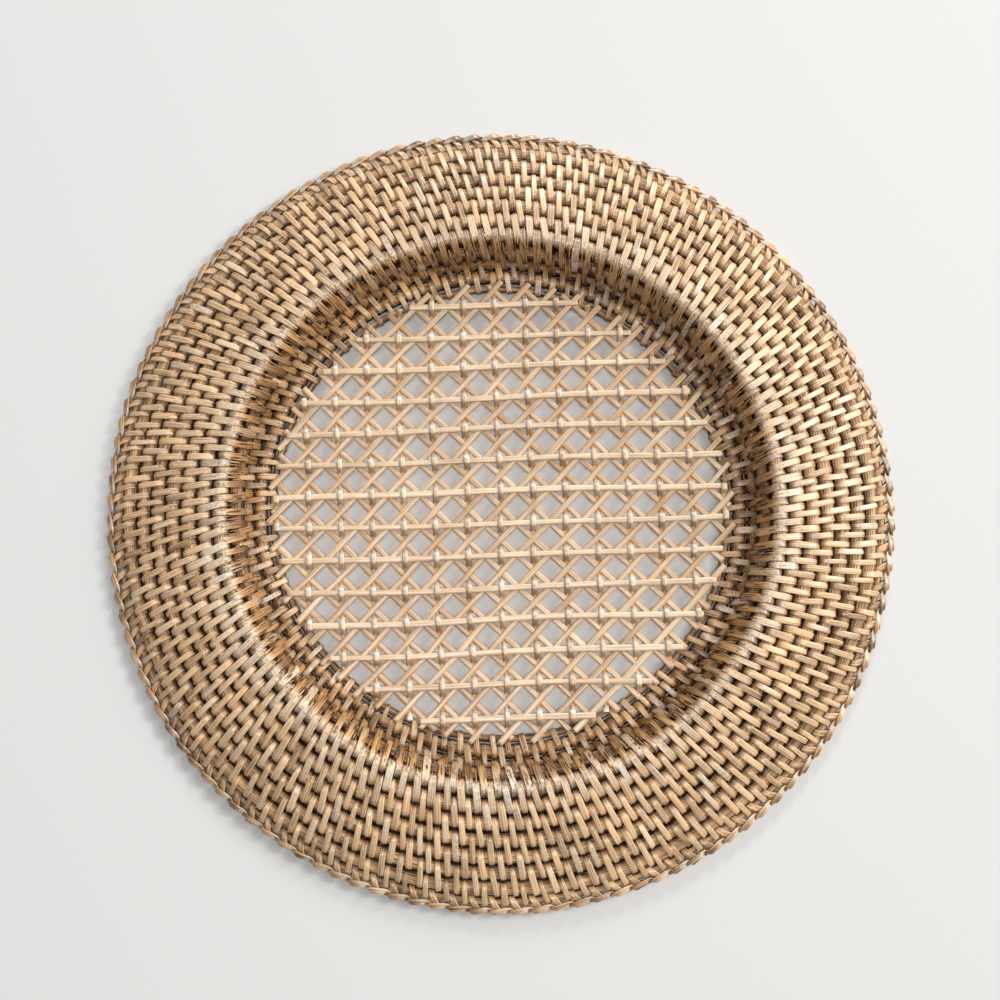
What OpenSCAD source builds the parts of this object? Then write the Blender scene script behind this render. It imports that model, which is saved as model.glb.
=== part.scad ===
// Charger plate of coiled cane: a raised rim of stitched coils round a flat
// woven mesh. Millimetres, +Z up, origin under the middle of the plate, on the
// surface that it stands on. Nothing on it moves.
// Radii are measured from the middle of the plate. A section of the rim is a
// chain of round coils. Each coil is lashed to the next by a row of cane loops.

/* [Well and mesh] */
// Radius of the thin hoop at the edge of the mesh, to the middle of its core
hoop_radius = 95; // [85:1:110]
// Half the thickness of that hoop's core
hoop_core = 1.25; // [1:0.05:1.6]
// Half the thickness of a coil core in the flat ring of the well
well_core = 2.35; // [2:0.05:2.8]
// Distance from one mesh strand to the next
mesh_pitch = 13.35; // [10:0.05:16]
// Turn of the whole mesh about the middle of the plate
mesh_turn = 2; // [-15:1:15]
// Width of a mesh strand
cane_w = 2.5; // [1.2:0.1:2.6]
// Thickness of a mesh strand
cane_t = 0.5; // [0.4:0.05:0.6]

/* [Rim] */
// Half the thickness of a coil core in the rim and the wall
rim_core = 2.7; // [2.3:0.05:3.1]
// Half the thickness of the thin rod at the outer edge
edge_core = 1.3; // [1:0.05:1.6]
// Lean of the wall away from upright, below the wall coil
wall_lean = 25; // [10:1:32]
// Lean of the wall away from upright, above the wall coil
crest_lean = 38.5; // [30:0.5:50]
// Slack between coils in the wall, where the plate turns upward
wall_slack = 1.05; // [0.2:0.05:1.5]
// Fall of the rim beside the crest
rim_fall = 12; // [6:0.5:14]
// How much steeper the rim gets with each coil
rim_curl = 1.8; // [0:0.1:2]

/* [Lashing] */
// Width of a lashing strip
lash_w = 2.6; // [1.6:0.1:2.7]
// Width of a lashing strip at the outer edge
edge_lash_w = 2.2; // [1.6:0.1:2.4]
// Thickness of a lashing strip
lash_t = 0.7; // [0.5:0.05:0.8]
// Loops in each row of the rim, one for each leaf of the plaited edge
rim_loops = 123; // [96:3:126]
// Loops in each row of the well
well_loops = 94; // [70:1:100]
// Lean of a loop away from the radius
lash_lean = 9; // [0:1:12]

/* [Plaited edge] */
// Width of the plaiting strip
plait_w = 1.8; // [1.2:0.1:2]
// Thickness of the plaiting strip
plait_t = 0.55; // [0.4:0.05:0.6]
// Reach of the plait beyond the loops on the edge rod
plait_reach = 3.5; // [2.5:0.1:4.5]
// How far a leaf of the plait runs on along the edge, past its share
plait_run = 2; // [1:0.1:3]
// How far a leaf of the plait lies back along the edge, at its outer end
plait_back = 4.2; // [2:0.1:5]

/* [Hidden] */

// Clearance of a loop to the core inside it
lash_gap = 0.04;
// Clearance of the upper loops of the wall over the lower ones, which lean
// another way
over_gap = 0.25;
// Clearance between the loops of neighbouring coils
coil_gap = 0.04;
// Clearance between mesh strands where they cross
weave_gap = 0.1;
// Clearance of a strand's end to the lashing that it lies on
seat_gap = 0.15;
// Clearance of the plait to the loops round the edge rod
plait_gap = 0.3;
// Clearance of the plait to the edge rod, over and under it
plait_lift = 0.2;
// Clearance of the plait to the edge rod, at its inner side
plait_bight = 1.22;
// How far the hoop's loops stay above the surface that the plate stands on
hoop_lift = 0.2;
// Where the straight sides of a loop's outline end, as a share of the radius:
// just inside the two arcs that they join
inner_share = 0.999;

// Half the thickness of one of the fine rods that show on a coil
rod_r = 0.5;
// Depth of the groove between two of them, as a share of the coil's radius
groove_share = 0.11;
// Half the width of a rod's back, as a share of the rod
back_share = 0.25;

// What a lashing adds to a core all round
wrap = lash_gap + lash_t;

// Distance between two lashed coils, from core to core
function reach(a, b) = a + b + 2 * wrap + coil_gap;

// The section, from the hoop outwards: [radius, height, half thickness]
hoop_z = hoop_core + wrap + hoop_lift;
well_z = well_core + wrap;
hoop_run = sqrt(pow(reach(hoop_core, well_core), 2) - pow(well_z - hoop_z, 2));
wall_step = reach(well_core, rim_core) + wall_slack;
crest_step = reach(rim_core, rim_core) + wall_slack;
rim_step = reach(rim_core, rim_core);
edge_step = reach(rim_core, edge_core);

p_hoop = [hoop_radius, hoop_z, hoop_core];
p_well_1 = [hoop_radius + hoop_run, well_z, well_core];
p_well_2 = p_well_1 + [reach(well_core, well_core), 0, 0];
p_wall = [p_well_2[0] + wall_step * sin(wall_lean),
    well_z + wall_step * cos(wall_lean), rim_core];
// The wall coil as the upper loops see it: they run over the lower loops
p_wall_over = p_wall + [0, 0, wrap + over_gap];
p_crest = p_wall + crest_step * [sin(crest_lean), cos(crest_lean), 0];
// A rim coil lies one step beyond the one before, on a line that falls more
// and more steeply
function rim_place(k) = k == 0 ? p_crest
    : rim_place(k - 1) + rim_step * [cos(fall(k)), -sin(fall(k)), 0];
function fall(k) = rim_fall + rim_curl * (k - 1);
rim_coils = 6;
p_edge_line = rim_place(rim_coils) + edge_step
    * [cos(fall(rim_coils + 1)), -sin(fall(rim_coils + 1)), 0];
p_edge = [p_edge_line[0], p_edge_line[1], edge_core];

// How far a row of loops is turned on from the row before it, in steps of one
// loop: half a step, and on by what the loops of both rows lean on their coil
function stagger(radius, run, loops) = half
    + run * sin(lash_lean) * loops / (2 * PI * radius);
half = 0.5;
// The turns of the rows: in the well, and beyond each coil of the rim
well_shift = stagger(p_well_1[0], (hoop_run + reach(well_core, well_core)) / 2,
    well_loops);
foot_shift = well_shift + stagger(p_well_2[0],
    (reach(well_core, well_core) + wall_step) / 2, well_loops);
function rim_shift(k) = k == 0
    ? stagger(p_crest[0], (crest_step + rim_step) / 2, rim_loops)
    : rim_shift(k - 1) + stagger(rim_place(k)[0], rim_step, rim_loops);
// The narrower loops at the edge rod stand half a step on
edge_shift = rim_shift(rim_coils - 1) + half;

// One coil: a hoop whose section shows the fine rods of a bundle. Each rod has
// a flat back and two flanks, and a groove lies between it and the next
module coil(p) {
  rods = floor(180 / asin(rod_r / (p[2] - rod_r)));
  outline = [for (k = [0:rods - 1], part = [-back_share, back_share, half])
      let (reach = part == half ? p[2] * (1 - groove_share) : p[2],
          turn = 360 * (k + part) / rods)
      [p[0] + reach * cos(turn), p[1] + reach * sin(turn)]];
  color("peru")
  rotate_extrude($fn = 96)
  polygon(outline);
}

// A strip of half-round cane in section: flat at x = 0, round towards +x
module cane(w, t) {
  dome = (w * w / 4 + t * t) / (2 * t);
  intersection() {
    translate([t - dome, 0])
    circle(r = dome, $fn = 48);
    translate([0, -w])
    square([2 * t, 2 * w]);
  }
}

// One closed loop of half-round cane: two half turns and two straights
module round_loop(r, run) {
  for (side = [0, 1])
    translate([side * run, 0, 0])
    rotate(90 - 180 * side)
    rotate_extrude(angle = 180, $fn = 48)
    translate([r, 0])
    cane(lash_w, lash_t);
  for (side = [0, 1])
    mirror([0, side, 0])
    translate([0, r, 0])
    rotate([0, 90, 0])
    linear_extrude(height = run)
    rotate(90)
    cane(lash_w, lash_t);
}

// The outline of a band round two circles, whose middles are run apart
module belt(a, b, run) {
  turn = acos((a - b) / run);
  a_in = a * inner_share;
  b_in = b * inner_share;
  circle(r = a, $fn = 32);
  translate([run, 0])
  circle(r = b, $fn = 32);
  polygon([[a_in * cos(turn), a_in * sin(turn)],
      [run + b_in * cos(turn), b_in * sin(turn)],
      [run + b_in * cos(turn), -b_in * sin(turn)],
      [a_in * cos(turn), -a_in * sin(turn)]]);
}

// One closed loop of flat strip round two circles
module flat_loop(a, b, run, width) {
  linear_extrude(height = width, center = true)
  difference() {
    belt(a + lash_t, b + lash_t, run);
    belt(a, b, run);
  }
}

// One row of loops round the coils p and q. Each loop leans a little from the
// radius, about the middle of the pair. The strip lies flat where loops crowd
// or the coils differ, and keeps its half-round form on the open rim.
module lashing(p, q, loops, shift, half_round, width = lash_w) {
  run = norm([q[0] - p[0], q[1] - p[1]]);
  tilt = atan2(q[1] - p[1], q[0] - p[0]);
  a = p[2] + lash_gap;
  b = q[2] + lash_gap;
  color("burlywood")
  for (k = [0:loops - 1])
    rotate(360 * (k + shift) / loops)
    translate([(p[0] + q[0]) / 2, 0, (p[1] + q[1]) / 2])
    rotate([0, -tilt, 0])
    rotate(lash_lean)
    rotate([90, 0, 0])
    translate([-run / 2, 0, 0])
    if (half_round) round_loop(a, run);
    else flat_loop(a, b, run, width);
}

// The plaited edge is one strand that runs in figures of eight: round the edge
// rod, through itself beyond the rod, and back round the outside. Its section
// is a triangle, flat on one side. turn counts 360 for each figure.
eight_r = p_edge[0] + edge_core + wrap + plait_gap + plait_t / 2;
eight_in = eight_r - (p_edge[0] - edge_core - plait_bight);
eight_out = plait_reach - plait_gap - plait_t / 2;
eight_z = edge_core + plait_t / 2 + plait_lift;
figure = 2 * PI * eight_r / rim_loops;
function eight_side(turn) = cos(turn) > 0 ? eight_in : eight_out;
function eight_along(turn) = figure * turn / 360
    + plait_run / 2 * (1 - cos(2 * turn)) - plait_swing * sin(2 * turn)
    - (cos(turn) < 0 ? plait_back * pow(cos(turn), 2) : 0);
function eight(turn) = [
    eight_r - eight_side(turn) * cos(turn) * abs(cos(turn)),
    p_edge[1] + eight_z * sin(2 * turn),
    eight_along(turn) * 180 / (PI * eight_r)];
function eight_point(turn) = let (p = eight(turn))
    [p[0] * cos(p[2]), p[0] * sin(p[2]), p[1]];
// How much a figure gives way to the loops at the edge rod
plait_swing = 0.815;
// Where the loops at the edge rod stand between two figures, in figures
edge_share = 0.714;
// Where the strand of a figure bends: near its inner end, over the rod, at
// the crossing and near its outer end
near = 20;
far = 50;
outer = 38;
bends = [-far, -near, near, far, 90, 180 - outer, 180 + outer, 270];
// The strand faces the way that it runs between these two turns either side
bend_step = 45;
function unit(v) = v / norm(v);
function eight_frame(turn) = let (
    a = eight(turn - bend_step), b = eight(turn + bend_step),
    angle = eight(turn)[2], flat = unit([b[0] - a[0], b[1] - a[1]]))
    [[sin(angle), -cos(angle), 0],
    [-flat[1] * cos(angle), -flat[1] * sin(angle), flat[0]]];
function eight_ring(turn) = let (f = eight_frame(turn), c = eight_point(turn)) [
    c - f[0] * plait_w / 2 - f[1] * plait_t / 2,
    c + f[0] * plait_w / 2 - f[1] * plait_t / 2,
    c + f[1] * plait_t / 2];
module plait() {
  rings = rim_loops * len(bends);
  points = [for (k = [0:rim_loops - 1], bend = bends)
      each eight_ring(360 * k + bend)];
  faces = [for (i = [0:rings - 1], j = [0:2])
      let (n = (i + 1) % rings, m = (j + 1) % 3)
      each [[3 * i + j, 3 * n + m, 3 * n + j], [3 * i + j, 3 * i + m, 3 * n + m]]];
  color("wheat")
  rotate(360 * (edge_shift - edge_share) / rim_loops)
  polyhedron(points, faces);
}
// The mesh. Strands of four directions lie on levels, counted from its middle.
layer = cane_t + weave_gap;
falling_level = -half;
rising_level = half;
across_level = 1.5;
valley_level = -1.5;
knuckle_level = 2.5;
hoop_slope = atan2(well_z - hoop_z, hoop_run)
    + asin((well_core - hoop_core) / reach(hoop_core, well_core));
mesh_base = hoop_z + (hoop_core + wrap) / cos(hoop_slope) + seat_gap;
mesh_z = mesh_base + cane_t / 2 - valley_level * layer;
// The ends lie on the sloping loops of the hoop, the higher the further out
function end_radius(level) = hoop_radius
    + (level - valley_level) * layer / tan(hoop_slope);
function half_length(side, radius) =
    sqrt(pow(radius, 2) - pow(abs(side) + cane_w / 2, 2));
mesh_radius = hoop_radius - cane_w / 2;
along_count = floor(mesh_radius / mesh_pitch);
across_count = floor(mesh_radius / mesh_pitch + half);
slant_pitch = mesh_pitch / sqrt(2);
slant_count = floor(mesh_radius / slant_pitch);

// Straight strands at the given distances from the middle, turned on the plate
module strands(places, level, radius, turn) {
  color("wheat")
  rotate(mesh_turn + turn)
  for (side = places)
    translate([0, side, mesh_z + level * layer - cane_t / 2])
    rotate([90, 0, 90])
    linear_extrude(height = 2 * half_length(side, radius), center = true)
    rotate(90)
    cane(cane_w, cane_t);
}

// How far beside a row the strand that lies over it stays level
knuckle_gap = 0.3;
// A strand that dips under the two slanting ones and rises over the next row
valley_half = (half + sqrt(half)) * cane_w;
knuckle_half = cane_w / 2 + knuckle_gap;
climb = (knuckle_level - valley_level) * layer;
climb_angle = atan2(climb, mesh_pitch / 2 - valley_half - knuckle_half);
corner = cane_t / 2 * tan(climb_angle / 2);
function wave(n, side) = let (
    y = n * mesh_pitch, low = valley_half - side * corner,
    high = knuckle_half + side * corner, lift = side * cane_t / 2,
    valley = valley_level * layer + lift, top = knuckle_level * layer + lift)
    [[y - low, valley], [y + low, valley],
    [y + mesh_pitch / 2 - high, top], [y + mesh_pitch / 2 + high, top]];
module along_strand(half_run) {
  last = ceil(half_run / mesh_pitch);
  upper = [for (n = [-last:last]) each wave(n, 1)];
  lower = [for (n = [-last:last]) each wave(n, -1)];
  count = len(lower);
  rotate([90, 0, 90])
  linear_extrude(height = cane_w, center = true)
  intersection() {
    polygon(concat(upper, [for (k = [1:count]) lower[count - k]]));
    translate([-half_run, -mesh_pitch])
    square([2 * half_run, 2 * mesh_pitch]);
  }
}
module along() {
  color("wheat")
  rotate(mesh_turn)
  for (m = [-along_count:along_count])
    translate([m * mesh_pitch, 0, mesh_z])
    along_strand(half_length(m * mesh_pitch, end_radius(valley_level)));
}

// Distances of the strands from the middle of the mesh
on_steps = [for (c = [-slant_count:slant_count]) c * slant_pitch];
on_halves = [for (n = [-across_count:across_count - 1]) (n + half) * mesh_pitch];

coil(p_hoop);  // hoop_core_rod
coil(p_well_1);  // well_coil_1
coil(p_well_2);  // well_coil_2
coil(p_wall);  // wall_coil
coil(p_crest);  // crest_coil
coil(rim_place(1));  // rim_coil_1
coil(rim_place(2));  // rim_coil_2
coil(rim_place(3));  // rim_coil_3
coil(rim_place(4));  // rim_coil_4
coil(rim_place(5));  // rim_coil_5
coil(rim_place(rim_coils));  // rim_coil_6
coil(p_edge);  // edge_rod
lashing(p_hoop, p_well_1, well_loops, 0, false);  // lash_hoop
lashing(p_well_1, p_well_2, well_loops, well_shift, false);  // lash_well
lashing(p_well_2, p_wall, well_loops, foot_shift, false);  // lash_wall_foot
lashing(p_wall_over, p_crest, rim_loops, 0, false);  // lash_wall_top
lashing(p_crest, rim_place(1), rim_loops, rim_shift(0), false);  // lash_rim_1
lashing(rim_place(1), rim_place(2), rim_loops, rim_shift(1), false);  // lash_rim_2
lashing(rim_place(2), rim_place(3), rim_loops, rim_shift(2), true);  // lash_rim_3
lashing(rim_place(3), rim_place(4), rim_loops, rim_shift(3), true);  // lash_rim_4
lashing(rim_place(4), rim_place(5), rim_loops, rim_shift(4), true);  // lash_rim_5
lashing(rim_place(5), rim_place(rim_coils), rim_loops, rim_shift(5), true);  // lash_rim_6
lashing(rim_place(rim_coils), p_edge, rim_loops, edge_shift, false,  // lash_edge
      edge_lash_w);
plait();  // edge_plait
strands(on_halves, across_level, end_radius(valley_level), 0);  // mesh_across
along();  // mesh_along
strands(on_steps, rising_level, end_radius(rising_level), 45);  // mesh_rising
strands(on_steps, falling_level, end_radius(falling_level), -45);  // mesh_falling
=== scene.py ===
"""A charger plate of lashed rattan coils round a woven cane mesh.

Every coil, stitch and strand is a surface swept along a formula, placed on
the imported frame. Run as a script; the panel lists the same operators.
"""

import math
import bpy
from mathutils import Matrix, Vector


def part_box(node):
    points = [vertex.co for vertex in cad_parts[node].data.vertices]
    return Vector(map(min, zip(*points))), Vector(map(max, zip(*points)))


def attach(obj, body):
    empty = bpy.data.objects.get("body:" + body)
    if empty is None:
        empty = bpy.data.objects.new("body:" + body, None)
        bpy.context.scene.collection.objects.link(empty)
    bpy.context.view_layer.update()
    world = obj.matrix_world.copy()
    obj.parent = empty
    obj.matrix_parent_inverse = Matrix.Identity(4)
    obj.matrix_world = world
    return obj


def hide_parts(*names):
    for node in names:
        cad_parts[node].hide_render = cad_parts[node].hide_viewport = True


bl_info = {
    "name": "Rattan charger plate",
    "version": (1, 0, 0),
    "blender": (4, 5, 0),
    "location": "View3D > Sidebar > Charger plate",
    "description": "Builds a charger plate of lashed rattan coils",
    "category": "Object",
}

from collections import namedtuple

import bpy
import numpy as np
from bpy.props import FloatProperty, FloatVectorProperty, IntProperty, PointerProperty
from mathutils import Vector

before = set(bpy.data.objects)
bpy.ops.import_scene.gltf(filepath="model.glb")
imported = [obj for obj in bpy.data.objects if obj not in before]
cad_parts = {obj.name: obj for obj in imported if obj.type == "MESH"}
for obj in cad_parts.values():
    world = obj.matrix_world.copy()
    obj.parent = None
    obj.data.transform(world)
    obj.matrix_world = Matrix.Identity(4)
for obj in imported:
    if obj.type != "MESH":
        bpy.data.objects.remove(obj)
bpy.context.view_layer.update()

MM = 0.001
CM = 100                  # centimetres in a metre, for the length that a UV map holds
TABLE = -0.1 * MM         # no piece lies lower than this
WRAP = 0.74 * MM          # what a lashing adds to a core all round
LASH_GAP = 0.04 * MM      # between a core and its lashing
ROD = 0.53 * MM           # half thickness of the fine rods in a core
DARKEST = -0.6            # tone at the bottom of a groove
THIN = ("hoop_core_rod", "edge_rod")


def coil_place(node):
    """Radius, height and half thickness of a coil, from its packed box.

    The box of the two thin coils ends at their rods' flat backs. A back spans
    an eighth of a turn, so it lies at the cosine of half of that.
    """
    low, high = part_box(node)
    half = (high[2] - low[2]) / 2
    full = half / math.cos(math.radians(22.5)) if node in THIN else half
    return np.array([high[0] - half, (high[2] + low[2]) / 2, full])


COILS = ["hoop_core_rod", "well_coil_1", "well_coil_2", "wall_coil", "crest_coil",
         "rim_coil_1", "rim_coil_2", "rim_coil_3", "rim_coil_4", "rim_coil_5",
         "rim_coil_6", "edge_rod"]
PLACE = {name: coil_place(name) for name in COILS}

# One row of stitches. turn is in loops, and over is how far the row lies over
# another row on its inner coil.
Row = namedtuple("Row", "node inner outer loops turn over width")
ROWS = [Row(*values) for values in (
    ("lash_hoop", "hoop_core_rod", "well_coil_1", 94, 0.0, 0.0, 2.35 * MM),
    ("lash_well", "well_coil_1", "well_coil_2", 94, 0.6317, 0.0, 2.45 * MM),
    ("lash_wall_foot", "well_coil_2", "wall_coil", 94, 1.2841, 0.0, 2.6 * MM),
    ("lash_wall_top", "wall_coil", "crest_coil", 123, 0.0, WRAP + 0.25 * MM, 2.75 * MM),
    ("lash_rim_1", "crest_coil", "rim_coil_1", 123, 0.6992, 0.0, 2.75 * MM),
    ("lash_rim_2", "rim_coil_1", "rim_coil_2", 123, 1.3741, 0.0, 2.55 * MM),
    ("lash_rim_3", "rim_coil_2", "rim_coil_3", 123, 2.0397, 0.0, 2.45 * MM),
    ("lash_rim_4", "rim_coil_3", "rim_coil_4", 123, 2.6972, 0.0, 2.4 * MM),
    ("lash_rim_5", "rim_coil_4", "rim_coil_5", 123, 3.3472, 0.0, 2.4 * MM),
    ("lash_rim_6", "rim_coil_5", "rim_coil_6", 123, 3.9907, 0.0, 2.4 * MM),
    ("lash_edge", "rim_coil_6", "edge_rod", 123, 4.4907, 0.0, 2.2 * MM),
)]

# The row down the wall, the row at the edge, and the rows whose strips are split
WALL = ROWS[3]
EDGE = ROWS[-1]
FRAYED = ("lash_wall_top", "lash_rim_1")

# How much darker the rows and the coils in the well are, and the well's radius
IN_SHADE = {"lash_hoop": 0.22, "lash_well": 0.28, "lash_wall_foot": 0.28}
COIL_SHADE = 0.2
WELL_RADIUS = 110 * MM

# The middle tone of each kind of piece, and how far one strip differs from it
TONE = {"core": (0.70, 0.05), "stitch": (0.45, 0.13), "plait": (0.62, 0.12), "mesh": (0.55, 0.12)}

# How one stitch differs from the next, as standard deviations. Roll and lean
# are angles, width and pull are shares, and place is in stitches.
SPREAD = {"roll": 0.10, "lean": math.radians(2.3), "width": 0.09, "pull": 0.012, "place": 0.038}

# A strip's section, flat inside and ridged outside, and how dark each point is as painted shade
WHOLE = np.array([
    (-0.5, 0.0, 0.3), (-0.5, 0.6, 0.2), (-0.38, 0.97, 0.0), (-0.17, 0.78, 0.2), (0.03, 1.0, 0.0),
    (0.22, 0.78, 0.2), (0.39, 0.98, 0.0), (0.5, 0.58, 0.2), (0.5, 0.0, 0.3)])

# The same for the strips over the crest, which are split into narrower fibres
SPLIT = np.array([
    (-0.5, 0.0, 0.3), (-0.49, 0.7, 0.15), (-0.38, 1.0, 0.0), (-0.27, 0.5, 0.26), (-0.12, 1.05, 0.0),
    (0.0, 0.6, 0.2), (0.13, 0.95, 0.0), (0.26, 0.45, 0.26), (0.4, 0.95, 0.0), (0.5, 0.6, 0.15),
    (0.5, 0.0, 0.3)])

# Sections of a loose fibre, of the plaiting strip and of a mesh strand
FIBRE = np.array([(-0.5, 0.0), (0.0, 0.5), (0.5, 0.0), (0.0, -0.5)])
PLAIT = np.array([(-0.5, -0.2), (-0.42, 0.42), (-0.2, 0.55), (0.05, 0.42), (0.26, 0.55),
                  (0.44, 0.40), (0.5, -0.2), (0.36, -0.45), (-0.36, -0.45)])
CANE = np.array([(-0.5, -0.5), (-0.42, 0.18), (-0.16, 0.5), (0.16, 0.5), (0.42, 0.18), (0.5, -0.5)])

FIBRES = 900              # loose fibres over the crest
FIGURE = 32               # stations in one figure of the plait
FIGURE_STRIP = 22         # millimetres of strip in one figure

# Streaks, bump, specular level and coat of each finish
SHEEN = {"core": (1.1, 0.6, 0.45, 0.15), "stitch": (1.0, 0.5, 0.6, 0.5), "mesh": (1.0, 0.5, 0.6, 0.5)}
PAINTED_SHADE = (0.22, 0.2, 0.17, 1)            # what the painted shade in grooves, down sides and under pieces leaves of a colour
HONEY = (1.06, 0.95, 0.85, 1)           # the warmest tint of the rattan
STRAW = (1.01, 0.975, 0.965, 1)         # its coolest tint
STAIN = (0.80, 0.60, 0.30, 1)           # the golden stain low on the wall
STAIN_START = (97 * MM, 101.5 * MM)     # radii over which the stain comes in
STAIN_END = (118 * MM, 112 * MM)        # radii over which it fades, the outer one first
WEAR_AND_SHEEN_HEIGHTS = (17.2 * MM, 19.2 * MM)         # heights over which the crest turns pale, from wear and as painted sheen

# The stage, in metres: the floor's height and half its side, the light of the
# world, and the camera's distance, tilt, angle of view and aim. Its sensor's
# width is in millimetres.
FLOOR_LOW = -0.12 * MM
FLOOR_HALF = 4.0
WORLD_COLOUR = (0.97, 0.98, 1.0, 1)
WORLD_STRENGTH = 0.185
CAMERA_AWAY = 0.6
CAMERA_TILT = math.radians(8.0)
CAMERA_VIEW = math.radians(38.6)
CAMERA_AIM = (0.0, 0.004, 0.0)
SENSOR = 36.0

# Name, place, power, size and colour of each light
LIGHTS = [
    ("sky", (2.8, 0.9, 2.0), 64.0, 2.4, (1.0, 0.97, 0.92)),
    ("window", (2.8, 0.9, 2.0), 37.0, 0.8, (1.0, 0.97, 0.92)),
    ("back", (0.4, 2.8, 1.25), 40.0, 0.7, (0.95, 0.97, 1.0)),
    ("ceiling", (0.0, -0.25, 2.2), 14.0, 0.5, (0.99, 0.99, 1.0)),
]


def hand_made(points):
    """The plate's slow, uneven drift, the same field for every piece.

    The radius grows by a few waves round the plate. The two low ones grow
    with the radius. The two others are only on the coils, and their phase
    turns with the radius, so that neighbouring coils differ a little. The
    height is stretched by a few parts in a hundred, so the foot stays down,
    and nothing lies lower than the table.
    """
    x, y, z = points[..., 0], points[..., 1], points[..., 2]
    radius = np.hypot(x, y)
    turn = np.arctan2(y, x)
    outward = np.clip(radius / (150 * MM), 0.0, 1.1)
    grow = outward * MM * (-0.55 * np.sin(2 * turn) + 0.22 * np.sin(3 * turn + 1.0))
    on_coils = np.clip((radius - 92 * MM) / (10 * MM), 0.0, 1.0)
    grow += on_coils * MM * (0.16 * np.sin(7 * turn + 310 * radius)
                             + 0.10 * np.sin(13 * turn - 420 * radius + 2.0))
    scale = 1 + grow / np.maximum(radius, 0.1 * MM)
    rise = 1 + 0.018 * np.sin(2 * turn + 0.6) + 0.012 * np.sin(5 * turn + 2.0)
    return np.stack([x * scale, y * scale, np.maximum(z * rise, TABLE)], axis=-1)


def down_wall(grid):
    """How far down the wall of the well each point lies, from 0 to 1."""
    top, depth = 112.5 * MM, 7 * MM
    return np.clip((top - np.hypot(grid[..., 0], grid[..., 1])) / depth, 0, 1)


def build_mesh(name, grid, closed, along, tone, wear=None, hue=None):
    """Turns a grid of points into a mesh with a UV map and three attributes.

    grid is [strand, station, section point, xyz]. Neighbouring stations and
    section points are joined by quads. A closed strand joins its last station
    to its first; an open one gets a flat cap at each end. u of the UV map is
    along, [strand, station], the length in centimetres, with one value more
    where the strand closes. v goes once round the strand. tone, wear and hue
    are [strand, station], with or without an axis for the section points.
    tone carries painted light and shade as well as the strip's own tone, and
    wear carries painted highlights as well as real wear.
    """
    count, stations, ring = grid.shape[:3]
    vertices = grid.reshape(-1, 3)
    index = np.arange(count * stations * ring).reshape(count, stations, ring)
    steps = stations if closed else stations - 1
    here = index[:, :steps]
    ahead = index[:, (np.arange(steps) + 1) % stations]
    beside_here = np.roll(here, -1, axis=2)
    beside_ahead = np.roll(ahead, -1, axis=2)
    quads = np.stack([here, beside_here, beside_ahead, ahead], axis=-1).reshape(-1, 4)
    u0 = np.broadcast_to(along[:, :steps, None], (count, steps, ring))
    u1 = np.broadcast_to(along[:, 1:steps + 1, None], (count, steps, ring))
    v0 = np.broadcast_to(np.arange(ring) / ring, (count, steps, ring))
    v1 = v0 + 1 / ring
    uv = np.stack([np.stack([u0, v0], -1), np.stack([u0, v1], -1),
                   np.stack([u1, v1], -1), np.stack([u1, v0], -1)], axis=-2)
    corners = [quads.reshape(-1)]
    uvs = [uv.reshape(-1, 2)]
    totals = [np.full(len(quads), 4)]
    if not closed:
        for end, order in ((0, -1), (stations - 1, 1)):
            corners.append(index[:, end, ::order].reshape(-1))
            uvs.append(np.repeat(np.stack([along[:, end], np.zeros(count)], -1), ring, axis=0))
            totals.append(np.full(count, ring))
    corners = np.concatenate(corners).astype(np.int32)
    uvs = np.concatenate(uvs).astype(np.float32)
    totals = np.concatenate(totals).astype(np.int32)
    starts = np.concatenate([[0], np.cumsum(totals)[:-1]]).astype(np.int32)
    # all faces are turned round if they point towards the section centres
    arm = (grid - grid.mean(axis=2, keepdims=True)).reshape(-1, 3)[quads[:, 0]]
    corner = vertices[quads]
    facing = np.cross(corner[:, 2] - corner[:, 0], corner[:, 3] - corner[:, 1])
    if np.einsum("ij,ij->", arm, facing) < 0:
        order = np.repeat(2 * starts + totals - 1, totals) - np.arange(len(corners))
        corners, uvs = corners[order], uvs[order]
    mesh = bpy.data.meshes.new(name)
    mesh.vertices.add(len(vertices))
    mesh.vertices.foreach_set("co", vertices.astype(np.float32).reshape(-1))
    mesh.loops.add(len(corners))
    mesh.loops.foreach_set("vertex_index", corners)
    mesh.polygons.add(len(totals))
    mesh.polygons.foreach_set("loop_start", starts)
    mesh.update(calc_edges=True)
    mesh.validate()
    layer = mesh.uv_layers.new(name="grain")
    layer.data.foreach_set("uv", uvs.reshape(-1))
    mesh.polygons.foreach_set("use_smooth", np.ones(len(totals), dtype=bool))
    for label, values in (("tone", tone), ("wear", wear), ("hue", hue)):
        data = np.zeros((1, 1, 1)) if values is None else values
        data = data if data.ndim == 3 else data[..., None]
        spread = np.broadcast_to(data, (count, stations, ring)).astype(np.float32)
        attribute = mesh.attributes.new(label, "FLOAT", "POINT")
        attribute.data.foreach_set("value", spread.reshape(-1))
    mesh.update()
    return mesh


def add_piece(name, mesh, material, nodes):
    """Puts a mesh into the scene in place of the CAD nodes it shows."""
    mesh.materials.append(material)
    piece = bpy.data.objects.new(name, mesh)
    bpy.context.scene.collection.objects.link(piece)
    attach(piece, "root")
    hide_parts(*nodes)


def swept(centre, side, out, width, thick, profile):
    """Carries a section along a path.

    A section point is the centre plus its first number times the width along
    the side direction, plus its second times the thickness along the outward
    direction.
    """
    across = profile[:, 0][None, None, :, None] * side[:, :, None, :]
    up = profile[:, 1][None, None, :, None] * out[:, :, None, :]
    width = np.broadcast_to(width, centre.shape[:2])[:, :, None, None]
    thick = np.broadcast_to(thick, centre.shape[:2])[:, :, None, None]
    return centre[:, :, None, :] + across * width + up * thick


def unit(vectors):
    """Vectors divided by their lengths."""
    return vectors / np.linalg.norm(vectors, axis=-1, keepdims=True)


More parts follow.
